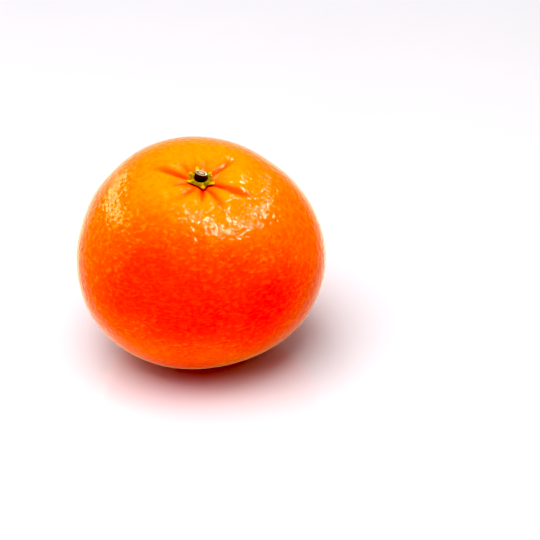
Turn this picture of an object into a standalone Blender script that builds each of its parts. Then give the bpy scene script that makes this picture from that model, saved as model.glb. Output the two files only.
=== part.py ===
"""A whole tangerine as it lies on a table, in metres, +Z up, stem end leaning towards -Y.

Three pieces that grew together but differ in colour and tissue: the round fruit, the star of
sepals (the calyx) in the hollow of its stem end, and the stub of the cut stem standing in it.
Each is a sphere of rings whose points are placed by a formula in the fruit's own frame: the
origin at the middle of the girth, +Z towards the stem, azimuth 0 along +X. The whole is then
leaned and lowered, and the fruit is cut flat where its weight presses it on the table.
"""

import math

import bmesh
import bpy
import numpy as np
from mathutils import Matrix, Vector

# The fruit's body
GIRTH_RADIUS = 0.0326
HALF_HEIGHT = 0.0283  # from the girth to either end, before the ends sink in
SWELL_COUNT = 3  # the girth is faintly three-sided seen from the stem
SWELL_SHARE = 0.025
SWELL_AZIMUTH = math.radians(108.5)

# The stem end: a shallow hollow with puckered furrows running out of it
HOLLOW_DEPTH = 0.0030
HOLLOW_RADIUS = 0.0080
FURROW_START = (0.0018, 0.0045)  # radii between which a furrow deepens
FURROW_HALF_WIDTH = math.radians(9)
# Each furrow: azimuth in degrees, depth and reach
FURROWS = (
    (42, 0.0008, 0.0170),
    (76, 0.0004, 0.0100),
    (108, 0.0005, 0.0100),
    (133, 0.0006, 0.0115),
    (164, 0.0011, 0.0170),
    (204, 0.0006, 0.0120),
    (240, 0.0006, 0.0150),
    (278, 0.0007, 0.0125),
    (301, 0.0007, 0.0185),
    (341, 0.0011, 0.0190),
)

# The blossom end: a small dimple where the flower's style fell off
DIMPLE_DEPTH = 0.0009
DIMPLE_RADIUS = 0.0034

# The calyx: a collar round the stem, and six uneven pointed lobes
SEAT_GAP = 0.0003  # between the calyx and the peel, and between the stub and its socket
COLLAR_RADIUS = 0.0023
COLLAR_HEIGHT = 0.00135  # above the hollow's floor
SOCKET_RADIUS = 0.0019
SOCKET_FLOOR = 0.0006
COLLAR_ROUNDING = 0.00012
WEB_RADIUS = 0.0026  # the outline between two lobes
TIP_RADIUS = 0.0042  # where a usual lobe ends
LOBE_HALF_WIDTH = math.radians(16)
LOBE_POINT = 1.25  # 1 is a straight-sided point, 2 a rounded one
LOBE_THICKNESS = 0.0005
FOOT_THICKNESS = 0.00075
TIP_LIFT = 0.0002
RIB_HEIGHT = 0.0002
RIB_HALF_WIDTH = math.radians(7)
# Rings across a lobe, as shares of the way from the collar to its edge
LOBE_STATIONS = (0, 0.35, 0.70, 0.95)
# Each lobe: azimuth in degrees and the radius that its tip reaches
LOBES = (
    (41, 0.0035),
    (108, 0.0042),
    (149, 0.0036),
    (207, 0.0040),
    (282, 0.0045),
    (328, 0.0043),
)

# The stem stub: bark outside, cut on a slant
STUB_RADIUS = 0.00155
STUB_TOP = 0.0029  # above the hollow's floor, on the stem's own line
CUT_SLANT = math.radians(24)
CUT_FACES = math.radians(50)  # azimuth that the cut faces
BARK_RIDGES = 9
BARK_RIDGE_SHARE = 0.035
BARK_EDGE = 0.00012
GROOVE_DEPTH = 0.00012  # the ring between bark and wood, shrunk as it dried
PITH_DEPTH = 0.00015
# Shares of the bark's radius on the cut: inside the bark, in the groove, the wood, and the pith
CUT_STATIONS = (0.88, 0.84, 0.74, 0.34, 0.22)

# How it lies
LEAN_FRONT = math.radians(14.6)
LEAN_SIDE = math.radians(2.9)
FLAT_DEPTH = 0.0009
FLAT_SNAP = 0.00005  # points this close to the table's plane are laid on it

# Fineness of each piece
FRUIT_COLUMNS = 90
FRUIT_ROWS = 56
STEM_END_CROWDING = 1.5
CALYX_COLUMNS = 90
STUB_COLUMNS = 45


def smooth_step(low, high, value):
    """0 below low, 1 above high, and a smooth rise between."""
    share = np.clip((value - low) / (high - low), 0, 1)
    return share * share * (3 - 2 * share)


def turn_between(azimuth, centre):
    """The angle from centre to azimuth, from -180 to 180 degrees, in radians."""
    return (azimuth - centre + math.pi) % (2 * math.pi) - math.pi


def girth_at(azimuth):
    """The fruit's largest radius on that side."""
    swell = np.cos(SWELL_COUNT * (azimuth - SWELL_AZIMUTH))
    return GIRTH_RADIUS * (1 + SWELL_SHARE * swell)


def hollow_depth(radius):
    """How far the stem end sinks at a radius, with no furrow."""
    return HOLLOW_DEPTH * np.exp(-((radius / HOLLOW_RADIUS) ** 2))


def furrow_depth(azimuth, radius):
    """The furrows' depth: each is a trough of one angular width that fades at its reach."""
    depth = np.zeros_like(azimuth * radius)
    for degrees, deepest, reach in FURROWS:
        turn = turn_between(azimuth, math.radians(degrees))
        across = np.exp(-((turn / FURROW_HALF_WIDTH) ** 2))
        fading = 1 - smooth_step(0.35 * reach, reach, radius)
        depth = depth + deepest * across * smooth_step(*FURROW_START, radius) * fading
    return depth


def fruit_point(azimuth, polar):
    """A point of the fruit: an ellipse turned round the stem line, with its ends sunk in."""
    radius = girth_at(azimuth) * np.sin(polar)
    stem_end = hollow_depth(radius) + furrow_depth(azimuth, radius)
    blossom_end = DIMPLE_DEPTH * np.exp(-((radius / DIMPLE_RADIUS) ** 2))
    sunk = np.where(np.cos(polar) > 0, stem_end, -blossom_end)
    height = HALF_HEIGHT * np.cos(polar) - sunk
    return radius * np.cos(azimuth), radius * np.sin(azimuth), height


def stem_end_height(azimuth, radius):
    """The height of the unfurrowed peel near the stem, which the calyx lies on."""
    level = np.sqrt(1 - (radius / girth_at(azimuth)) ** 2)
    return HALF_HEIGHT * level - hollow_depth(radius)


def lobe_reach(azimuth):
    """The calyx's outline: a web between the lobes, and a point at each."""
    reach = np.full_like(azimuth, WEB_RADIUS)
    for degrees, tip in LOBES:
        turn = np.abs(turn_between(azimuth, math.radians(degrees)))
        point = np.exp(-((turn / LOBE_HALF_WIDTH) ** LOBE_POINT))
        reach = np.maximum(reach, WEB_RADIUS + (tip - WEB_RADIUS) * point)
    return reach


def lobe_rib(azimuth):
    """1 along the middle of each lobe, and 0 between them."""
    turns = [turn_between(azimuth, math.radians(degrees)) for degrees, _ in LOBES]
    return sum(np.exp(-((turn / RIB_HALF_WIDTH) ** 2)) for turn in turns)


def calyx_rings(azimuth):
    """The calyx's rings, from the middle of its underside, round its edge, to the socket's floor."""
    reach = lobe_reach(azimuth)
    floor = stem_end_height(azimuth, 0 * azimuth)

    def on_lobe(share, side):
        """A ring on the lobes' underside for side 0, on their rim for 0.5, and on top for 1."""
        radius = COLLAR_RADIUS + share * (reach - COLLAR_RADIUS)
        thickness = FOOT_THICKNESS + share * (LOBE_THICKNESS - FOOT_THICKNESS)
        lift = TIP_LIFT * smooth_step(WEB_RADIUS, TIP_RADIUS, radius)
        rib = RIB_HEIGHT * lobe_rib(azimuth) * share * max(2 * side - 1, 0)
        return radius, stem_end_height(azimuth, radius) + SEAT_GAP + lift + side * thickness + rib

    def on_collar(radius, height):
        return radius + 0 * azimuth, floor + height

    return [
        on_collar(0.5 * COLLAR_RADIUS, SEAT_GAP + 0.1 * FOOT_THICKNESS),
        *[on_lobe(share, 0) for share in LOBE_STATIONS],
        on_lobe(1, 0.5),
        *[on_lobe(share, 1) for share in reversed(LOBE_STATIONS)],
        on_collar(COLLAR_RADIUS - COLLAR_ROUNDING, COLLAR_HEIGHT - 0.5 * COLLAR_ROUNDING),
        on_collar(SOCKET_RADIUS + COLLAR_ROUNDING, COLLAR_HEIGHT),
        on_collar(SOCKET_RADIUS, COLLAR_HEIGHT - COLLAR_ROUNDING),
        on_collar(SOCKET_RADIUS, SOCKET_FLOOR),
        on_collar(0.5 * SOCKET_RADIUS, SOCKET_FLOOR),
    ]


def stub_rings(azimuth):
    """The stub's rings, from its foot in the socket, up its bark, to the middle of the cut."""
    floor = stem_end_height(azimuth, 0 * azimuth)
    foot = floor + SOCKET_FLOOR + SEAT_GAP
    bark = STUB_RADIUS * (1 + BARK_RIDGE_SHARE * np.cos(BARK_RIDGES * azimuth))
    slope = math.tan(CUT_SLANT) * np.cos(azimuth - CUT_FACES)
    in_bark, in_groove, in_wood, round_pith, in_pith = CUT_STATIONS

    def on_cut(share, sunk):
        return share * bark, floor + STUB_TOP - slope * share * bark - sunk

    def on_side(share):
        _, edge = on_cut(1, BARK_EDGE)
        return bark, foot + share * (edge - foot)

    return [
        (0.9 * bark, foot),
        *[on_side(share) for share in (0.1, 0.4, 0.7, 1)],
        on_cut(1 - BARK_EDGE / STUB_RADIUS, 0),
        on_cut(in_bark, 0),
        on_cut(in_groove, GROOVE_DEPTH),
        on_cut(in_wood, 0),
        on_cut(round_pith, 0),
        on_cut(in_pith, PITH_DEPTH),
    ]


def sphere_mesh(columns, rows):
    """A sphere of rings, with each point's azimuth and the number of its ring, 0 at the +Z pole."""
    mesh = bmesh.new()
    bmesh.ops.create_uvsphere(mesh, u_segments=columns, v_segments=rows, radius=1)
    points = np.array([point.co for point in mesh.verts])
    azimuth = np.arctan2(points[:, 1], points[:, 0])
    ring = np.rint(np.arccos(np.clip(points[:, 2], -1, 1)) / math.pi * rows).astype(int)
    return mesh, azimuth, ring


def move_points(mesh, places):
    for point, place in zip(mesh.verts, places):
        point.co = place


def fruit_mesh():
    """The fruit, with its rows crowded towards the stem end, where the furrows are."""
    mesh, azimuth, ring = sphere_mesh(FRUIT_COLUMNS, FRUIT_ROWS)
    polar = math.pi * (ring / FRUIT_ROWS) ** STEM_END_CROWDING
    move_points(mesh, np.stack(fruit_point(azimuth, polar), axis=1))
    return mesh


def ringed_mesh(columns, rings_at):
    """A closed piece from its rings, the first next to the -Z pole and the last next to the +Z one."""
    row_count = len(rings_at(np.zeros(1))) + 1
    mesh, azimuth, ring = sphere_mesh(columns, row_count)
    rings = rings_at(azimuth)
    radii = np.stack([radius for radius, _ in rings])
    heights = np.stack([height for _, height in rings])
    nearest = np.clip(row_count - 1 - ring, 0, row_count - 2)
    column = np.arange(len(azimuth))
    at_pole = (ring == 0) | (ring == row_count)
    radius = np.where(at_pole, 0, radii[nearest, column])
    height = np.where(at_pole, heights.mean(axis=1)[nearest], heights[nearest, column])
    move_points(mesh, np.stack([radius * np.cos(azimuth), radius * np.sin(azimuth), height], axis=1))
    return mesh


def flatten_underside(mesh):
    """Cuts off what reaches below Z = 0 and closes the cut with one flat face."""
    parts = mesh.verts[:] + mesh.edges[:] + mesh.faces[:]
    up = Vector((0, 0, 1))
    cut = bmesh.ops.bisect_plane(
        mesh,
        geom=parts,
        dist=FLAT_SNAP,
        plane_co=Vector(),
        plane_no=up,
        use_snap_center=True,
        clear_inner=True,
    )
    edge = [part for part in cut["geom_cut"] if isinstance(part, bmesh.types.BMEdge)]
    bmesh.ops.edgeloop_fill(mesh, edges=edge)


def lying_matrix(mesh):
    """The fruit's own frame to the table's: leaned, and lowered by the depth of the flat spot too."""
    lean = Matrix.Rotation(LEAN_SIDE, 4, "Y") @ Matrix.Rotation(LEAN_FRONT, 4, "X")
    places = np.array([lean @ point.co for point in mesh.verts])
    low, high = places.min(axis=0), places.max(axis=0)
    middle = 0.5 * (low + high)
    drop = Vector((-middle[0], -middle[1], -low[2] - FLAT_DEPTH))
    return Matrix.Translation(drop) @ lean


def plain_material(name, colour, roughness):
    material = bpy.data.materials.new(name)
    material.use_nodes = True
    shader = material.node_tree.nodes["Principled BSDF"]
    shader.inputs["Base Color"].default_value = (*colour, 1)
    shader.inputs["Roughness"].default_value = roughness
    shader.inputs["Metallic"].default_value = 0
    material.diffuse_color = (*colour, 1)
    return material


def add_piece(name, mesh, material, sharp_from):
    """Makes the named object from the mesh, shaded smooth up to the given angle between faces."""
    bmesh.ops.recalc_face_normals(mesh, faces=mesh.faces[:])
    data = bpy.data.meshes.new(name)
    mesh.to_mesh(data)
    mesh.free()
    data.materials.append(material)
    data.shade_smooth()
    data.set_sharp_from_angle(angle=sharp_from)
    piece = bpy.data.objects.new(name, data)
    bpy.context.scene.collection.objects.link(piece)
    return piece


def build_tangerine():
    for old in list(bpy.data.objects):
        bpy.data.objects.remove(old)

    fruit = fruit_mesh()
    lying = lying_matrix(fruit)
    calyx = ringed_mesh(CALYX_COLUMNS, calyx_rings)
    stub = ringed_mesh(STUB_COLUMNS, stub_rings)
    for mesh in (fruit, calyx, stub):
        bmesh.ops.transform(mesh, matrix=lying, verts=mesh.verts[:])
    flatten_underside(fruit)

    peel = plain_material("peel", (0.95, 0.22, 0.01), 0.35)
    sepal = plain_material("sepal", (0.30, 0.33, 0.04), 0.55)
    bark = plain_material("bark", (0.10, 0.06, 0.03), 0.80)
    add_piece("fruit_body", fruit, peel, math.radians(30))
    add_piece("calyx", calyx, sepal, math.radians(50))
    add_piece("stem_stub", stub, bark, math.radians(40))


build_tangerine()
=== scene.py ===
"""How the tangerine looks: pebbled waxy peel, star of sepals and cut stem, on a white table.

Lengths are in metres. The fruit's own frame has its origin at the middle of the girth, +Z towards
the stem and azimuth 0 along +X; LEAN turns it to the table's frame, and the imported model's box
says where it lies.
"""

import itertools
import math

import bpy
import numpy as np
from mathutils import Matrix, Vector


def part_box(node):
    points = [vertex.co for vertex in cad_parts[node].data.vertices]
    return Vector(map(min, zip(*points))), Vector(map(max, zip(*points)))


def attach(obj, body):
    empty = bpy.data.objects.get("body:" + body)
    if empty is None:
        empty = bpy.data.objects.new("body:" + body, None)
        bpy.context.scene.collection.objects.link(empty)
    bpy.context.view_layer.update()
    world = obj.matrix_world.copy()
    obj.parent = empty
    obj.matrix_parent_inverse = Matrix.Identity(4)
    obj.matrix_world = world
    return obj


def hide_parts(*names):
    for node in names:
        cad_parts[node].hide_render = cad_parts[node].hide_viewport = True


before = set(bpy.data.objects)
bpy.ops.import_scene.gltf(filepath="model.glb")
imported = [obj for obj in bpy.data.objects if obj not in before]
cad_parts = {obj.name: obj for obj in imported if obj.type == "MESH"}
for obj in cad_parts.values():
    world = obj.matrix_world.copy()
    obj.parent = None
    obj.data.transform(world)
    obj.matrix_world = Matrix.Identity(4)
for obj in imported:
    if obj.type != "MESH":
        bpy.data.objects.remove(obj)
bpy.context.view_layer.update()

MILLIMETRE = 0.001

# The fruit's body
GIRTH_RADIUS = 0.0326
HALF_HEIGHT = 0.0283
SWELL_COUNT = 3
SWELL_SHARE = 0.025
SWELL_AZIMUTH = math.radians(108.5)
LEAN = Matrix.Rotation(math.radians(2.9), 3, "Y") @ Matrix.Rotation(math.radians(14.6), 3, "X")
PRESSED_BEND = 0.00012  # how gently the peel bends into the flat spot it rests on

# The stem end's hollow and furrows: azimuth in degrees, depth and reach of each
HOLLOW_DEPTH = 0.0030
HOLLOW_RADIUS = 0.0080
FURROW_START = (0.0018, 0.0045)
FURROW_HALF_WIDTH = math.radians(9)
FURROW_FULL_SHARE = 0.35  # of its reach, before it fades
FURROWS = (
    (42, 0.0008, 0.0170),
    (76, 0.0004, 0.0100),
    (108, 0.0005, 0.0100),
    (133, 0.0006, 0.0115),
    (164, 0.0011, 0.0170),
    (204, 0.0006, 0.0120),
    (240, 0.0006, 0.0150),
    (278, 0.0007, 0.0125),
    (301, 0.0007, 0.0185),
    (341, 0.0011, 0.0190),
)
FURROW_WANDER = math.radians(3)
FURROW_BEND = 0.0030
CREASE_DEPTH = 0.00008
CREASE_HALF_WIDTH = 0.00050
PUCKER_DEPTH = 0.000015
PUCKER_END = (0.0060, 0.0140)

# The blossom end's dimple and scar
DIMPLE_DEPTH = 0.0009
DIMPLE_RADIUS = 0.0034
SCAR_RADIUS = 0.0011
SCAR_HALF_WIDTH = 0.4 * SCAR_RADIUS
SCAR_HEIGHT = 0.00025

# Relief of the peel: slow swellings, and the pits of the oil glands
RELIEF_START = (0.0035, 0.0060)
SWELLING = 0.00014
SWELLING_SPACING = 0.0085
SWELLING_SEED = 3.0
GLAND_SPACING = 0.00150
GLAND_DEPTH = 0.00004
GLAND_RADIUS_SHARE = 0.42
GLAND_SEED = 5.0
PEEL_COLUMNS = 440
PEEL_ROWS = 224
STEM_END_CROWDING = 1.2

# Mixes the three whole numbers of a lattice cell into three that look random
SHUFFLE = np.array([[127.1, 269.5, 113.5], [311.7, 183.3, 271.9], [74.7, 246.1, 124.6]])
SHUFFLE_SCALE = 43758.5453

# Where the belly is reddest, partly the peel's own flush and partly painted shade: azimuth,
# radius and height of each spot, and how far it reaches
BLUSH_AND_SHADE_SPOTS = (
    (244, 0.0270, 0.0130, 0.025),
    (272, 0.0280, 0.0110, 0.021),
    (304, 0.0290, 0.0060, 0.024),
    (268, 0.0265, -0.0150, 0.017),
)

# The calyx: azimuth in degrees of each lobe and the radius that its tip reaches
SEAT_GAP = 0.0003
COLLAR_RADIUS = 0.0023
COLLAR_HEIGHT = 0.00135
COLLAR_ROUNDING = 0.00012
SOCKET_RADIUS = 0.00164
SOCKET_FLOOR = 0.0006
WEB_RADIUS = 0.0026
TIP_RADIUS = 0.0042
TIP_LIFT = 0.0002
LOBES = (
    (41, 0.0035),
    (108, 0.0042),
    (149, 0.0036),
    (207, 0.0040),
    (282, 0.0045),
    (328, 0.0043),
)
LOBE_HALF_WIDTH = math.radians(16)
LOBE_POINT = 1.25
LOBE_THICKNESS = 0.0005
FOOT_THICKNESS = 0.00075
RIB_HEIGHT = 0.0002
RIB_HALF_WIDTH = math.radians(7)
CALYX_CREASES = 0.00006
LOBE_STATIONS = (0, 0.18, 0.36, 0.54, 0.72, 0.88, 0.96)
CALYX_COLUMNS = 144

# The stem stub: each ring on its cut is a share of the bark's radius, sunk by a depth
STUB_RADIUS = 0.00155
STUB_TOP = 0.0029
CUT_SLANT = math.radians(24)
CUT_FACES = math.radians(50)
BARK_RIDGES = (9, 17)
BARK_RIDGE_SHARE = 0.0245
BARK_EDGE = 0.00012
BARK_STATIONS = (1, 0.85, 0.7, 0.55, 0.4, 0.25, 0.1)
PITH_DEPTH = 0.00015
GROOVE_DEPTH = 0.00012
CUT_STATIONS = (
    (0.10, PITH_DEPTH),
    (0.24, PITH_DEPTH),
    (0.40, 0),
    (0.52, 0),
    (0.60, GROOVE_DEPTH),
    (0.68, 0),
    (0.78, 0),
    (0.90, 0),
)
STUB_COLUMNS = 108

# The table
TABLE_HALF_SIDE = 3.0

# The studio's soft lights: azimuth, elevation, width, glow, and whether only the fruit is lit
LIGHT_DISTANCE = 1.40
AIR_GLOW = 0.32
SOFT_LIGHTS = {
    "key": (235, 76, 1.30, 5.8, False),
    "front": (262, 46, 1.00, 3.0, True),
    "low": (262, 16, 0.60, 4.0, True),
    "side": (170, 25, 0.80, 1.0, False),
    "back": (88, 28, 1.60, 4.6, True),
}

# The lights that only gleam on the fruit: azimuth, elevation, width, glow and warmth
GLEAMS = (
    (80, 84, 0.12, 130, 0.15),
    (270, 83, 0.12, 130, 0.15),
    (314, 76, 0.14, 170, 0.15),
    (316, 69, 0.14, 190, 0.15),
    (302, 65, 0.14, 170, 0.15),
    (315, 61, 0.13, 150, 0.15),
    (324, 56, 0.13, 140, 0.15),
    (334, 53, 0.13, 140, 0.15),
    (346, 50, 0.13, 140, 0.15),
    (359, 48, 0.13, 130, 0.15),
    (11, 46, 0.13, 115, 0.15),
    (21, 43, 0.13, 95, 0.15),
    (31, 43, 0.13, 60, 0.15),
    (42, 40, 0.13, 25, 0.15),
    (56, 28, 0.18, 8, 0.15),
    (0, 62, 0.24, 30, 0.2),
    (25, 56, 0.24, 20, 0.2),
    (62, 54, 0.14, 70, 0.2),
    (105, 67, 0.10, 110, 0.2),
    (127, 12, 0.26, 10, 0.75),
    (139, 16, 0.28, 16, 0.75),
    (149, 22, 0.28, 24, 0.75),
    (158, 29, 0.28, 26, 0.75),
    (166, 37, 0.26, 20, 0.75),
)

# The photograph's frame, and where the fruit's middle is in it
IMAGE_SIDE = 540
MIDDLE_PIXEL = (199.3, 252.7)
LENS_MM = 100
SENSOR_MM = 36
CAMERA_DISTANCE = 0.394
CAMERA_ELEVATION = math.radians(31)
BLACK_LEVEL = (0.035, 0.05, 0.05)


# Steps, turns and noise

def smooth_step(low, high, value):
    """0 below low, 1 above high, and a smooth rise between: 3 squares less 2 cubes."""
    share = np.clip((value - low) / (high - low), 0, 1)
    return share * share * (3 - 2 * share)


def turn_between(azimuth, centre):
    """The angle from centre to azimuth, from -180 to 180 degrees, in radians."""
    return (azimuth - centre + math.pi) % (2 * math.pi) - math.pi


def scatter(cells, seed):
    """Three numbers from 0 to 1 for each cell: the last digits of a sine of its whole numbers."""
    return np.modf(np.abs(np.sin(cells @ SHUFFLE + seed)) * SHUFFLE_SCALE)[0]


def cell_distance(points, spacing, seed):
    """From each point to the nearest of a lattice of points shaken out of place, in spacings."""
    places = points / spacing
    home = np.floor(places)
    nearest = np.full(places.shape[:-1], np.inf)
    for step in itertools.product((-1, 0, 1), repeat=3):
        cell = home + step
        gap = np.linalg.norm(places - cell - scatter(cell, seed), axis=-1)
        nearest = np.minimum(nearest, gap)
    return nearest


def drift(points, spacing, seed):
    """Smooth noise from -1 to 1: random numbers on a lattice, blended between its corners."""
    places = points / spacing
    home = np.floor(places)
    within = places - home
    ease = within * within * (3 - 2 * within)
    total = np.zeros(places.shape[:-1])
    for corner in itertools.product((0, 1), repeat=3):
        weight = np.prod(np.where(corner, ease, 1 - ease), axis=-1)
        total += weight * scatter(home + corner, seed)[..., 0]
    return 2 * total - 1


# The fruit's shape

def angles(columns):
    """Azimuths all the way round, in even steps."""
    return np.linspace(0, 2 * math.pi, columns, endpoint=False)


def around(azimuth, radius, height):
    """Points at these azimuths, radii and heights round the stem line."""
    return np.stack([radius * np.cos(azimuth), radius * np.sin(azimuth), height], axis=-1)


def girth_at(azimuth):
    """The fruit's largest radius on that side: a circle with a faint three-sided swell."""
    swell = np.cos(SWELL_COUNT * (azimuth - SWELL_AZIMUTH))
    return GIRTH_RADIUS * (1 + SWELL_SHARE * swell)


def hollow_depth(radius):
    """How far the stem end sinks at a radius: a bell curve."""
    return HOLLOW_DEPTH * np.exp(-((radius / HOLLOW_RADIUS) ** 2))


def furrow_relief(azimuth, radius):
    """The furrows' depth: troughs of one angular width, each with a fine crease along it."""
    depth = np.zeros_like(radius)
    for degrees, deepest, reach in FURROWS:
        wander = FURROW_WANDER * np.sin(radius / FURROW_BEND + degrees)
        turn = turn_between(azimuth, math.radians(degrees) + wander)
        trough = deepest * np.exp(-((turn / FURROW_HALF_WIDTH) ** 2))
        crease = CREASE_DEPTH * np.exp(-((turn * radius / CREASE_HALF_WIDTH) ** 2))
        fading = 1 - smooth_step(FURROW_FULL_SHARE * reach, reach, radius)
        depth += (trough + crease) * smooth_step(*FURROW_START, radius) * fading
    return depth


def pucker_relief(azimuth, radius):
    """Fine wrinkles that run out from the stem: two waves round it, of 31 uneven and 47 turns."""
    waves = np.sin(31 * azimuth + 9 * np.sin(3 * azimuth)) + np.sin(47 * azimuth + 1.7)
    fading = smooth_step(*FURROW_START, radius) * (1 - smooth_step(*PUCKER_END, radius))
    return PUCKER_DEPTH * waves * fading


def stem_end_height(azimuth, radius):
    """The height of the unfurrowed peel near the stem: the ellipse less the hollow."""
    level = np.sqrt(1 - (radius / girth_at(azimuth)) ** 2)
    return HALF_HEIGHT * level - hollow_depth(radius)


def blossom_end_depth(radius):
    """How far the underside sinks: a bell curve, with the style's scar as a low ring in it."""
    dimple = DIMPLE_DEPTH * np.exp(-((radius / DIMPLE_RADIUS) ** 2))
    return dimple - SCAR_HEIGHT * np.exp(-(((radius - SCAR_RADIUS) / SCAR_HALF_WIDTH) ** 2))


def fruit_surface(azimuth, polar):
    """Points of the peel and the depth of their furrows, in the fruit's frame.

    An ellipse turned round the stem line, with its ends sunk in, is then moved along its normal
    by slow swellings and by a pit for each oil gland.
    """
    upper = np.cos(polar) > 0
    radius = girth_at(azimuth) * np.sin(polar)
    furrow = np.where(upper, furrow_relief(azimuth, radius), 0)
    stem_end = hollow_depth(radius) + furrow + pucker_relief(azimuth, radius)
    sunk = np.where(upper, stem_end, -blossom_end_depth(radius))
    points = around(azimuth, radius, HALF_HEIGHT * np.cos(polar) - sunk)

    normal = points / np.array([GIRTH_RADIUS, GIRTH_RADIUS, HALF_HEIGHT]) ** 2
    normal /= np.linalg.norm(normal, axis=-1, keepdims=True)
    swelling = SWELLING * drift(points, SWELLING_SPACING, SWELLING_SEED)
    gland = cell_distance(points, GLAND_SPACING, GLAND_SEED) / GLAND_RADIUS_SHARE
    relief = (swelling - GLAND_DEPTH * np.exp(-gland * gland)) * smooth_step(*RELIEF_START, radius)
    return points + normal * relief[..., None], furrow


def find_lying_place():
    """Where the fruit's middle lies: its box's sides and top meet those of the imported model."""
    polar = (math.pi * np.arange(1, 180) / 180)[:, None]
    points, _ = fruit_surface(angles(360), polar)
    leaned = points @ np.array(LEAN).T
    low, high = leaned.min(axis=(0, 1)), leaned.max(axis=(0, 1))
    box_low, box_high = (np.array(corner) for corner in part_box("fruit_body"))
    place = 0.5 * (box_low + box_high) - 0.5 * (low + high)
    place[2] = box_high[2] - high[2]
    return Vector(place)


lying_place = find_lying_place()


def lay_down(points):
    """Turns points from the fruit's frame to the table's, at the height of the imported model."""
    return points @ np.array(LEAN).T + np.array(lying_place)


def press_flat(points):
    """Bends what would reach below the table onto it: each height follows a hyperbola."""
    height = points[..., 2]
    points[..., 2] = 0.5 * (height + np.sqrt(height**2 + PRESSED_BEND**2))
    return points


# Meshes from rings

def ring_mesh(name, rings, signals):
    """A closed mesh from rings of points, the first ring round the top and the last at the foot.

    rings[row, column] is a point, and columns turn with the azimuth. A point in the middle of the
    first ring and one in the middle of the last close the two ends. Each of the signals is a
    number for every point in rings, kept as an attribute.
    """
    rows, columns = rings.shape[:2]
    points = np.concatenate([rings.reshape(-1, 3), rings[[0, -1]].mean(axis=1)])
    number = np.arange(rows * columns).reshape(rows, columns)
    onward = np.roll(number, -1, axis=1)
    walls = np.stack([number[:-1], number[1:], onward[1:], onward[:-1]], axis=-1).reshape(-1, 4)
    top = np.full(columns, rows * columns)
    top_lid = np.stack([top, number[0], onward[0]], axis=-1)
    foot_lid = np.stack([top + 1, onward[-1], number[-1]], axis=-1)

    mesh = bpy.data.meshes.new(name)
    mesh.from_pydata(points.tolist(), [], walls.tolist() + top_lid.tolist() + foot_lid.tolist())
    for signal, numbers in signals.items():
        attribute = mesh.attributes.new(signal, "FLOAT", "POINT")
        ends = numbers[[0, -1]].mean(axis=1)
        attribute.data.foreach_set("value", np.append(numbers.ravel(), ends).astype(np.float32))
    mesh.shade_smooth()
    return mesh


def gather_rings(azimuth, rings):
    """From rings, each a radius, a height and more numbers, their points and each number's grid."""
    grids = [np.stack([part + 0 * azimuth for part in parts]) for parts in zip(*rings)]
    return around(azimuth, *grids[:2]), *grids[2:]


def add_piece(mesh, node, material, subdivisions=0):
    """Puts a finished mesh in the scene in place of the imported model's node."""
    piece = bpy.data.objects.new(mesh.name, mesh)
    bpy.context.scene.collection.objects.link(piece)
    mesh.materials.append(material)
    if subdivisions:
        rounding = piece.modifiers.new("rounding", "SUBSURF")
        rounding.levels = subdivisions
        rounding.render_levels = subdivisions
    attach(piece, "root")
    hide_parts(node)
    return piece


# The peel

def make_peel(material):
    """The peel, with rings closer together at the stem end, and its furrows' depth in mm."""
    rows = np.arange(1, PEEL_ROWS) / PEEL_ROWS
    polar = (math.pi * rows**STEM_END_CROWDING)[:, None]
    rings, furrow = fruit_surface(angles(PEEL_COLUMNS), polar)
    mesh = ring_mesh("peel", press_flat(lay_down(rings)), {"furrow": furrow / MILLIMETRE})
    return add_piece(mesh, "fruit_body", material)


# The calyx

def lobe_reach(azimuth):
    """The calyx's outline: a web between the lobes, and a point at each."""
    reach = np.full_like(azimuth, WEB_RADIUS)
    for degrees, tip in LOBES:
        turn = np.abs(turn_between(azimuth, math.radians(degrees)))
        point = np.exp(-((turn / LOBE_HALF_WIDTH) ** LOBE_POINT))
        reach = np.maximum(reach, WEB_RADIUS + (tip - WEB_RADIUS) * point)
    return reach


def lobe_rib(azimuth):
    """1 along the middle of each lobe, and 0 between them: a bell curve at each."""
    turns = [turn_between(azimuth, math.radians(degrees)) for degrees, _ in LOBES]
    return sum(np.exp(-((turn / RIB_HALF_WIDTH) ** 2)) for turn in turns)


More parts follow.
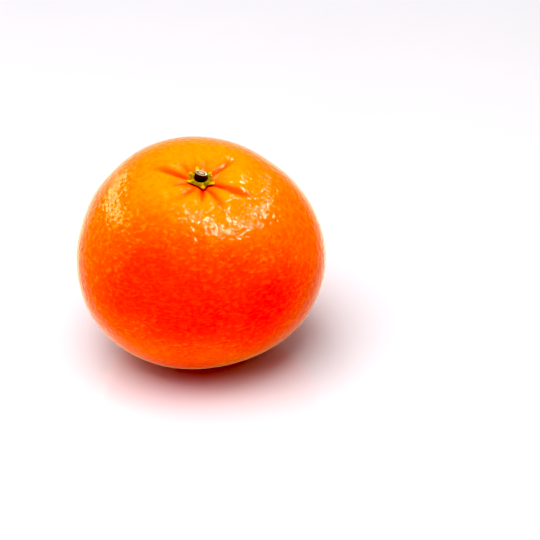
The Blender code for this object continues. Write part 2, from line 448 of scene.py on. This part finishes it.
def calyx_rings():
    """The calyx's rings from its socket's floor, over the collar, out and round to underneath.

    Heights are the peel's own at that place, plus the gap, the lift of the tips, the thickness
    and the ribs. The second result is how far out each ring is, 0 at the stem and 1 at the edge,
    and the third how far down it is, 0 on top and 1 underneath.
    """
    azimuth = angles(CALYX_COLUMNS)
    reach = lobe_reach(azimuth)
    floor = stem_end_height(azimuth, 0 * azimuth)
    creases = CALYX_CREASES * (np.sin(23 * azimuth) + np.sin(37 * azimuth + 2.0))

    def on_lobe(share, side):
        """A share of the way from the collar to the edge; side is 1 on top and 0 underneath."""
        radius = COLLAR_RADIUS + share * (reach - COLLAR_RADIUS)
        thickness = FOOT_THICKNESS + share * (LOBE_THICKNESS - FOOT_THICKNESS)
        lift = TIP_LIFT * smooth_step(WEB_RADIUS, TIP_RADIUS, radius)
        on_top = max(2 * side - 1, 0)
        rib = (RIB_HEIGHT * lobe_rib(azimuth) * share + creases) * on_top
        peel = stem_end_height(azimuth, radius)
        height = peel + SEAT_GAP + lift + side * thickness + rib
        return radius, height, 0.2 + 0.8 * share, 1 - side

    def on_collar(radius, height, outward):
        """A round ring at a height above the peel's lowest point."""
        return radius, floor + height + creases, outward, 0

    rings = [
        on_collar(0.5 * SOCKET_RADIUS, SOCKET_FLOOR, 0),
        on_collar(SOCKET_RADIUS, SOCKET_FLOOR, 0),
        on_collar(SOCKET_RADIUS, COLLAR_HEIGHT - COLLAR_ROUNDING, 0.05),
        on_collar(SOCKET_RADIUS + COLLAR_ROUNDING, COLLAR_HEIGHT, 0.1),
        on_collar(COLLAR_RADIUS - COLLAR_ROUNDING, COLLAR_HEIGHT - 0.5 * COLLAR_ROUNDING, 0.15),
        *[on_lobe(share, 1) for share in LOBE_STATIONS],
        on_lobe(1, 0.5),
        *[on_lobe(share, 0) for share in reversed(LOBE_STATIONS)],
        on_collar(0.5 * COLLAR_RADIUS, SEAT_GAP + 0.1 * FOOT_THICKNESS, 0),
    ]
    return gather_rings(azimuth, rings)


def make_calyx(material):
    """The star of sepals, with numbers for its colours: how far out, underneath or on a rib."""
    rings, outward, under = calyx_rings()
    rib = lobe_rib(angles(CALYX_COLUMNS)) + 0 * outward
    signals = {"outward": outward, "under": under, "rib": rib}
    mesh = ring_mesh("sepals", lay_down(rings), signals)
    return add_piece(mesh, "calyx", material, subdivisions=1)


# The stem stub

def stub_rings():
    """The stub's rings from the middle of its slanted cut, out to the bark, and down to its foot.

    The cut is a plane less its groove and pith, and the bark a cylinder with waves round it. The
    second result is the share of the bark's radius on the cut, and more than 1 on the bark.
    """
    azimuth = angles(STUB_COLUMNS)
    floor = stem_end_height(azimuth, 0 * azimuth)
    foot = floor + SOCKET_FLOOR + SEAT_GAP
    coarse, fine = BARK_RIDGES
    ridges = np.cos(coarse * azimuth) + 0.5 * np.cos(fine * azimuth + 1.0)
    bark = STUB_RADIUS * (1 + BARK_RIDGE_SHARE * ridges)
    slope = math.tan(CUT_SLANT) * np.cos(azimuth - CUT_FACES)
    edge = floor + STUB_TOP - slope * bark - BARK_EDGE

    def on_cut(share, depth):
        """A share of the bark's radius from the pith's middle, and a depth below the plane."""
        return share * bark, floor + STUB_TOP - slope * share * bark - depth, share

    rings = [
        *[on_cut(share, depth) for share, depth in CUT_STATIONS],
        on_cut(1 - BARK_EDGE / STUB_RADIUS, 0),
        *[(bark, foot + share * (edge - foot), 2 - share) for share in BARK_STATIONS],
        (0.9 * bark, foot, 2),
    ]
    return gather_rings(azimuth, rings)


def make_stub(material):
    """The stem's cut end, with how far each point is from the pith as a number for its rings."""
    rings, from_pith = stub_rings()
    mesh = ring_mesh("stub", lay_down(rings), {"from_pith": from_pith})
    return add_piece(mesh, "stem_stub", material, subdivisions=1)


# How materials are written

class Signal:
    """A socket of a material's nodes; arithmetic on it adds Math nodes, and node() any other."""

    def __init__(self, tree, socket=None):
        self.tree = tree
        self.socket = socket

    def node(self, kind, settings=None, inputs=None, output=0):
        """Adds a node: first its settings or its ramp's stops, then its sockets' values or links."""
        node = self.tree.nodes.new(kind)
        for name, value in (settings or {}).items():
            if name == "stops":
                self.set_stops(node.color_ramp.elements, value)
            else:
                setattr(node, name, value)
        for name, value in (inputs or {}).items():
            if isinstance(value, Signal):
                self.tree.links.new(value.socket, node.inputs[name])
            else:
                node.inputs[name].default_value = value
        return Signal(self.tree, node.outputs[output]) if node.outputs else None

    @staticmethod
    def set_stops(elements, stops):
        """Gives a colour ramp its stops, from pairs of place and colour."""
        while len(elements) < len(stops):
            elements.new(1)
        for element, (place, colour) in zip(elements, stops):
            element.position = place
            element.color = colour

    def math(self, operation, *terms):
        return self.node("ShaderNodeMath", {"operation": operation}, dict(enumerate(terms)))

    def __add__(self, other):
        return self.math("ADD", self, other)

    def __sub__(self, other):
        return self.math("SUBTRACT", self, other)

    def __rsub__(self, other):
        return self.math("SUBTRACT", other, self)

    def __mul__(self, other):
        return self.math("MULTIPLY", self, other)

    __radd__ = __add__
    __rmul__ = __mul__

    def rise(self, low, high):
        """0 where this is below low, 1 above high, and a smooth rise between."""
        inputs = {"Value": self, "From Min": low, "From Max": high}
        return self.node("ShaderNodeMapRange", {"interpolation_type": "SMOOTHSTEP"}, inputs)

    def mix(self, low, high):
        """A colour between two, this being the share of the second."""
        inputs = {0: self, 6: low, 7: high}
        return self.node("ShaderNodeMix", {"data_type": "RGBA"}, inputs, 2)

    def distance(self, point):
        """From this vector to a point."""
        return self.node("ShaderNodeVectorMath", {"operation": "DISTANCE"}, {0: self, 1: point}, 1)

    def scaled(self, *factors):
        """This vector times a factor a side; a pattern on it shrinks by that factor."""
        settings = {"operation": "MULTIPLY"}
        return self.node("ShaderNodeVectorMath", settings, {0: self, 1: factors})

    def turned(self, *turns):
        """This vector turned round the three axes, by these angles in radians."""
        return self.node("ShaderNodeMapping", None, {"Vector": self, "Rotation": turns})

    def noise(self, size, detail=2.0, roughness=0.5):
        """Cloudy numbers round 0.5 whose blots are about this size."""
        inputs = {"Vector": self, "Scale": 1 / size, "Detail": detail, "Roughness": roughness}
        return self.node("ShaderNodeTexNoise", None, inputs)

    def pits(self, spacing):
        """0 in the middle of each of many scattered cells, and more towards their borders."""
        inputs = {"Vector": self, "Scale": 1 / spacing}
        return self.node("ShaderNodeTexVoronoi", None, inputs)

    def bump(self, height, strength=1.0, **inputs):
        """The normal that this relief of a height in metres gives; it may go on from a Normal."""
        inputs = {"Height": self, "Distance": height, "Strength": strength, **inputs}
        return self.node("ShaderNodeBump", None, inputs)

    def attribute(self, name):
        """A number that the mesh keeps for each of its points."""
        return self.node("ShaderNodeAttribute", {"attribute_name": name}, output="Fac")


def new_material(name):
    """An empty material, a Signal to start its nodes from, and one of each point's place."""
    material = bpy.data.materials.new(name)
    material.use_nodes = True
    material.node_tree.nodes.clear()
    start = Signal(material.node_tree)
    return material, start, start.node("ShaderNodeTexCoord", output="Object")


def finish_surface(start, values):
    """Ends a material's nodes in a Principled shader with these values or links."""
    shader = start.node("ShaderNodeBsdfPrincipled", None, values)
    start.node("ShaderNodeOutputMaterial", None, {"Surface": shader})


def rgb(red, green, blue):
    """A colour seen on a screen, from 0 to 255 a channel, as the shader's light values."""
    screen = np.array([red, green, blue]) / 255
    light = np.where(screen <= 0.04045, screen / 12.92, ((screen + 0.055) / 1.055) ** 2.4)
    return (*light, 1)


def place_on_fruit(azimuth, radius, height):
    """A point given in the fruit's frame, as one in the table's, for a pattern to start from."""
    turn = math.radians(azimuth)
    return LEAN @ Vector((radius * math.cos(turn), radius * math.sin(turn), height)) + lying_place


# Materials

def away_from_blush_and_shade(place, blots):
    """0 at the spots where the belly is reddest, partly its own flush and partly painted shade, and
    1
    past them all: each one's rise, multiplied.
    """
    share = 1
    for azimuth, radius, height, reach in BLUSH_AND_SHADE_SPOTS:
        away = place.distance(place_on_fruit(azimuth, radius, height)) + (blots - 0.5) * 0.010
        share = share * away.rise(0.2 * reach, reach)
    return share


def peel_colour(place, furrow, blots, wrinkles, glands):
    """Golden at the stem end and red-orange on the belly, each partly the peel's own colour and
    partly painted light and shade; then layer by layer painted glints, painted shade in the
    wrinkles, the hollow and the furrows, and the peel's own mottle, streaks, glands and scar.
    """
    from_stem = place.distance(place_on_fruit(0, 0, HALF_HEIGHT - HOLLOW_DEPTH))
    from_scar = place.distance(place_on_fruit(0, 0, DIMPLE_DEPTH - HALF_HEIGHT))
    from_front = place.distance(place_on_fruit(270, 0.030, 0.008))
    # 0 at the golden stem end and 1 on the orange sides: partly the peel's own colour, partly
    # painted light on the top
    past_golden_lit_top = (from_stem + (blots - 0.5) * 0.014).rise(0.006, 0.027)
    speckled = 0.35 + 0.65 * past_golden_lit_top
    flecks = place.scaled(1, 1, 2.1).noise(0.0014, 2.0, 0.6).rise(0.40, 0.66)
    streaks = place.scaled(1, 1, 0.4).noise(0.0008, 2.0, 0.6).rise(0.36, 0.60)
    # The redder belly: partly the peel's own flush, partly painted shade
    paler = away_from_blush_and_shade(place, blots)
    blush_and_shade = 1 - paler
    border = 4 * blush_and_shade * paler

    layers = (
        # Red-orange on the belly: partly the peel's own flush, partly painted shade
        (blush_and_shade * (1 - 0.14 * flecks), rgb(250, 50, 16)),
        # Golden flecks along the red belly's edge: painted glints
        (flecks.rise(0.72, 1.0) * border * 0.36, rgb(252, 130, 26)),
        ((1 - flecks) * 0.18 * speckled, rgb(240, 52, 10)),
        # Darker red in the valleys of the fine wrinkles: painted shade
        ((1 - wrinkles.rise(0.34, 0.58)) * 0.30 * speckled, rgb(238, 50, 8)),
        ((1 - streaks) * 0.24 * (from_front.rise(0.018, 0.034) * past_golden_lit_top), rgb(240, 58, 8)),
        # Darker orange in the hollow round the calyx: painted shade
        ((1 - from_stem.rise(0.0030, 0.0085)) * 0.55, rgb(236, 72, 12)),
        # Darker and redder down the furrows: painted shade
        (furrow.rise(0.04, 0.80) * 0.60, rgb(236, 68, 12)),
        (furrow.rise(0.32, 0.95) * 0.60, rgb(204, 50, 4)),
        ((1 - glands) * 0.34 * speckled, rgb(234, 42, 8)),
        ((1 - from_scar.rise(0.0006, 0.0017)) * 0.8, rgb(120, 82, 40)),
    )
    # Golden near the stem and orange past it: partly the peel's own colour, partly painted light on
    # the top
    skin = past_golden_lit_top.mix(rgb(250, 121, 22), rgb(250, 109, 20))
    for share, colour in layers:
        skin = share.mix(skin, colour)
    return skin


def peel_material():
    """Waxed peel whose fine wrinkles and gland pits catch the light, with a pale glow at its rim."""
    material, start, place = new_material("peel")
    furrow = start.attribute("furrow")
    blots = place.noise(0.012, 3.0)
    wrinkles = place.turned(0.6, 0.45, 0.3).noise(0.00125, 0.4)
    glands = place.pits(0.00115).rise(0, 0.55)
    values = {
        "Base Color": peel_colour(place, furrow, blots, wrinkles, glands),
        "Roughness": 0.06 + 0.05 * blots,
        "Normal": wrinkles.bump(0.00018, Normal=glands.bump(0.00003)),
        "IOR": 1.45,
        "Specular IOR Level": 0.10,
        "Specular Tint": (1, 0.82, 0.62, 1),
        "Sheen Weight": 0.58,
        "Sheen Roughness": 0.25,
        "Sheen Tint": (1, 0.92, 0.46, 1),
    }
    finish_surface(start, values)
    return material


def sepal_material():
    """Olive green to yellow towards the tips and on the ribs, partly its own colour and partly
    painted highlight; painted shade darkens it in the creases, in the socket round the stem and
    underneath.
    """
    material, start, place = new_material("sepal")
    outward = start.attribute("outward")
    rib = start.attribute("rib")
    under = start.attribute("under")
    blots = place.noise(0.0012, 3.0)
    grain = place.noise(0.00030, 3.0)
    # Yellow towards the tips and on the ribs: partly the sepals' own colour, partly painted
    # highlight
    yellow_and_highlight = (outward * 0.5 + rib * 0.40 + (blots - 0.5) * 1.6).rise(0.20, 0.80)
    # Dark brown between the lobes, off the ribs: painted shade in the creases
    crease_shade = (1 - rib.rise(0.05, 0.60)) * outward.rise(0.15, 0.50) * 0.55
    skin = yellow_and_highlight.mix(rgb(122, 98, 10), rgb(190, 146, 24))
    skin = crease_shade.mix(skin, rgb(74, 48, 8))
    # Darker in the socket and collar round the stem: painted shade
    skin = ((1 - outward.rise(0.02, 0.16)) * 0.6).mix(skin, rgb(60, 48, 8))
    skin = (grain.rise(0.50, 0.75) * 0.40).mix(skin, rgb(64, 48, 8))
    # Dark red-brown underneath the lobes: painted shadow
    skin = (under.rise(0.10, 0.65) * 0.80).mix(skin, rgb(70, 26, 6))
    values = {
        "Base Color": skin,
        "Specular IOR Level": 0.10,
        "Specular Tint": (1, 0.9, 0.4, 1),
        "Roughness": 0.42 + 0.2 * grain,
        "Normal": grain.bump(0.00005, 0.7),
    }
    finish_surface(start, values)
    return material


def stem_material():
    """Near-black bark; on the cut a cream rim, a dark groove, pale wood and a brown pith."""
    material, start, place = new_material("stem")
    from_pith = start.attribute("from_pith")
    grain = place.noise(0.00018, 3.0)
    stops = (
        (0.00, rgb(120, 74, 44)),
        (0.11, rgb(184, 132, 84)),
        (0.20, rgb(160, 112, 68)),
        (0.26, rgb(36, 20, 11)),
        (0.35, rgb(36, 20, 11)),
        (0.40, rgb(226, 200, 130)),
        (0.475, rgb(236, 214, 148)),
        (0.51, rgb(70, 50, 24)),
        (0.56, rgb(26, 17, 11)),
        (1.00, rgb(20, 13, 9)),
    )
    rings = (from_pith + (grain - 0.5) * 0.12) * 0.5
    wood = start.node("ShaderNodeValToRGB", {"stops": stops}, {"Fac": rings})
    top = stem_end_height(0, 0) + STUB_TOP
    from_back = place.distance(place_on_fruit(70, 0.8 * STUB_RADIUS, top))
    # The cut darker towards its front, away from a point near its back rim; the bark stays as it is
    darker_front_of_cut = from_back.rise(0.0012, 0.0022) * (1 - from_pith.rise(1.0, 1.1))
    skin = (darker_front_of_cut * 0.80).mix(wood, rgb(52, 32, 18))
    skin = (grain.rise(0.55, 0.8) * 0.25).mix(skin, rgb(70, 44, 20))
    values = {
        "Base Color": skin,
        "Roughness": 0.62,
        "Normal": grain.bump(0.00008, 0.8),
    }
    finish_surface(start, values)
    return material


def table_material():
    """White lacquer, a little glossy, that shows a soft mirror image."""
    material, start, place = new_material("table")
    cloud = place.noise(0.06, 2.0)
    values = {
        "Base Color": cloud.mix(rgb(230, 227, 231), rgb(234, 231, 235)),
        "Roughness": 0.10 + 0.02 * cloud,
        "IOR": 1.8,
    }
    finish_surface(start, values)
    return material


# Table, lights and camera

def make_table():
    """A flat square of white table that reaches far past the view."""
    side = TABLE_HALF_SIDE
    corners = [(-side, -side, 0), (side, -side, 0), (side, side, 0), (-side, side, 0)]
    mesh = bpy.data.meshes.new("table")
    mesh.from_pydata(corners, [], [(0, 1, 2, 3)])
    mesh.materials.append(table_material())
    table = bpy.data.objects.new("table", mesh)
    bpy.context.scene.collection.objects.link(table)


def add_softbox(name, azimuth, elevation, size, glow, lit=None, warmth=0):
    """A square studio light that faces the fruit; azimuth 0 is on the right, 90 behind.

    The glow is how bright its face looks, and warmth turns its white towards orange. It lights
    everything, or only the collection of pieces given as lit.
    """
    turn, rise = math.radians(azimuth), math.radians(elevation)
    flat = math.cos(rise)
    away = Vector((flat * math.cos(turn), flat * math.sin(turn), math.sin(rise)))
    light = bpy.data.lights.new(name, "AREA")
    light.shape = "SQUARE"
    light.size = size
    light.energy = glow * math.pi * size**2
    light.color = (1, 1 - 0.4 * warmth, 1 - 0.9 * warmth)
    softbox = bpy.data.objects.new(name, light)
    softbox.location = lying_place + away * LIGHT_DISTANCE
    softbox.rotation_euler = away.to_track_quat("Z", "Y").to_euler()
    softbox.visible_camera = False
    softbox.light_linking.receiver_collection = lit
    bpy.context.scene.collection.objects.link(softbox)
    return softbox


def light_studio(pieces):
    """A large key high at the front left, soft fills round the fruit, and faint light from the air.

    The soft lights don't show in the gloss; the small ones show only there, as separate glints.
    """
    fruit_only = bpy.data.collections.new("fruit_only")
    for piece in pieces:
        fruit_only.objects.link(piece)
    for name, (azimuth, elevation, size, glow, fruit_alone) in SOFT_LIGHTS.items():
        lit = fruit_only if fruit_alone else None
        add_softbox(name, azimuth, elevation, size, glow, lit).visible_glossy = False
    for number, (azimuth, elevation, size, glow, warmth) in enumerate(GLEAMS):
        gleam = add_softbox(f"gleam_{number}", azimuth, elevation, size, glow, fruit_only, warmth)
        gleam.visible_diffuse = False
    world = bpy.data.worlds.new("air")
    world.use_nodes = True
    air = world.node_tree.nodes["Background"]
    air.inputs["Color"].default_value = (1, 1, 1, 1)
    air.inputs["Strength"].default_value = AIR_GLOW
    bpy.context.scene.world = world


def place_camera():
    """Looks down at the fruit's elevation, from where the fruit's middle falls on its pixel."""
    ahead = Vector((0, math.cos(CAMERA_ELEVATION), -math.sin(CAMERA_ELEVATION)))
    rightward = Vector((1, 0, 0))
    upward = rightward.cross(ahead)
    metres_a_pixel = CAMERA_DISTANCE * SENSOR_MM / LENS_MM / IMAGE_SIDE
    across = (MIDDLE_PIXEL[0] - IMAGE_SIDE / 2) * metres_a_pixel
    above = (IMAGE_SIDE / 2 - MIDDLE_PIXEL[1]) * metres_a_pixel
    lens = bpy.data.cameras.new("camera")
    lens.lens = LENS_MM
    lens.sensor_width = SENSOR_MM
    camera = bpy.data.objects.new("camera", lens)
    camera.location = lying_place - ahead * CAMERA_DISTANCE - rightward * across - upward * above
    camera.rotation_euler = ahead.to_track_quat("-Z", "Y").to_euler()
    bpy.context.scene.collection.objects.link(camera)
    bpy.context.scene.camera = camera


def develop_picture():
    """Plain screen colours, with the faintest light taken for black, as on a hard print."""
    view = bpy.context.scene.view_settings
    view.view_transform = "Standard"
    view.use_curve_mapping = True
    view.curve_mapping.black_level = BLACK_LEVEL
    view.curve_mapping.update()


# The whole scene

pieces = [
    make_peel(peel_material()),
    make_calyx(sepal_material()),
    make_stub(stem_material()),
]
make_table()
light_studio(pieces)
place_camera()
develop_picture()
